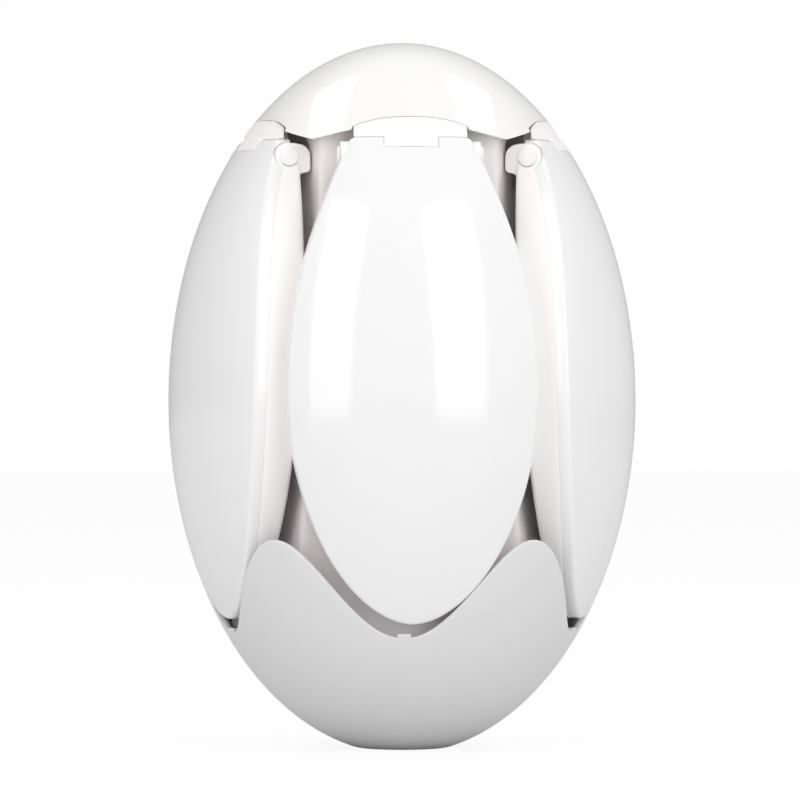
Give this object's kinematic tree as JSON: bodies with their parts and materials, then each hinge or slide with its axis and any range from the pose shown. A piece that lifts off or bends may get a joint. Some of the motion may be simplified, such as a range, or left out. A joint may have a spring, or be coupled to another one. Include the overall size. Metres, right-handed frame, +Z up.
{
  "type": "folding garage light",
  "caption": "Egg-shaped folding garage light: lamp leaves hinged round a domed hub close down onto a wavy cup, and swing out when it hangs by its flat end.",
  "frame": {"origin": "centre of the flat end that the closed light stands on", "axes": "+Z up along the egg's axis from the flat end to the dome, -Y out through the front leaf, +X to its right"},
  "size_m": [0.14, 0.1398, 0.211],
  "materials": {
    "white_plastic": "satin moulded white",
    "cup_plastic": "fine satin moulded white",
    "opal_plastic": "glossy opal white",
    "inner_plastic": "matt moulded",
    "board_aluminium": "white lacquered",
    "lamp_chip": "resin",
    "screw_steel": "zinc plated",
    "washer_plastic": "plain",
    "circuit_board": "lacquered",
    "coil_tape": "tape",
    "black_plastic": "plain",
    "terminal_plastic": "plain",
    "brass": "turned"
  },
  "bodies": {
    "core": {"hinge_pin_1": "white_plastic", "hinge_pin_2": "white_plastic", "hinge_pin_3": "white_plastic", "hinge_pin_4": "white_plastic", "hinge_pin_5": "white_plastic", "hinge_washers_1": "washer_plastic", "hinge_washers_2": "washer_plastic", "hinge_washers_3": "washer_plastic", "hinge_washers_4": "washer_plastic", "hinge_washers_5": "washer_plastic", "dome": "opal_plastic", "dome_plate": "board_aluminium", "dome_board": "board_aluminium", "dome_chips": "lamp_chip", "dome_screws": "screw_steel", "plate_screws": "screw_steel", "hub": "white_plastic", "hub_screws": "screw_steel", "column": "inner_plastic", "driver_board": "circuit_board", "transformer": "coil_tape", "capacitors": "black_plastic", "inductor": "black_plastic", "driver_chips": "black_plastic", "terminal_block": "terminal_plastic", "cup": "cup_plastic", "cup_screws": "screw_steel", "bush": "brass", "bush_nut": "brass"},
    "leaf_1": {"leaf_frame_1": "white_plastic", "diffuser_1": "opal_plastic", "led_board_1": "board_aluminium", "led_chips_1": "lamp_chip", "board_screws_1": "screw_steel"},
    "leaf_2": {"leaf_frame_2": "white_plastic", "diffuser_2": "opal_plastic", "led_board_2": "board_aluminium", "led_chips_2": "lamp_chip", "board_screws_2": "screw_steel"},
    "leaf_3": {"leaf_frame_3": "white_plastic", "diffuser_3": "opal_plastic", "led_board_3": "board_aluminium", "led_chips_3": "lamp_chip", "board_screws_3": "screw_steel"},
    "leaf_4": {"leaf_frame_4": "white_plastic", "diffuser_4": "opal_plastic", "led_board_4": "board_aluminium", "led_chips_4": "lamp_chip", "board_screws_4": "screw_steel"},
    "leaf_5": {"leaf_frame_5": "white_plastic", "diffuser_5": "opal_plastic", "led_board_5": "board_aluminium", "led_chips_5": "lamp_chip", "board_screws_5": "screw_steel"}
  },
  "joints": [
    {"name": "leaf_1_hinge", "type": "hinge", "parent": "core", "child": "leaf_1", "pos_m": [0, -0.0436, 0.1757], "axis": [-1, 0, 0], "range_deg": [0, 90]},
    {"name": "leaf_2_hinge", "type": "hinge", "parent": "core", "child": "leaf_2", "pos_m": [0.04147, -0.01347, 0.1757], "axis": [-0.309, -0.9511, 0], "range_deg": [0, 90]},
    {"name": "leaf_3_hinge", "type": "hinge", "parent": "core", "child": "leaf_3", "pos_m": [0.02563, 0.03527, 0.1757], "axis": [0.809, -0.5878, 0], "range_deg": [0, 90]},
    {"name": "leaf_4_hinge", "type": "hinge", "parent": "core", "child": "leaf_4", "pos_m": [-0.02563, 0.03527, 0.1757], "axis": [0.809, 0.5878, 0], "range_deg": [0, 90]},
    {"name": "leaf_5_hinge", "type": "hinge", "parent": "core", "child": "leaf_5", "pos_m": [-0.04147, -0.01347, 0.1757], "axis": [-0.309, 0.9511, 0], "range_deg": [0, 90]}
  ]
}
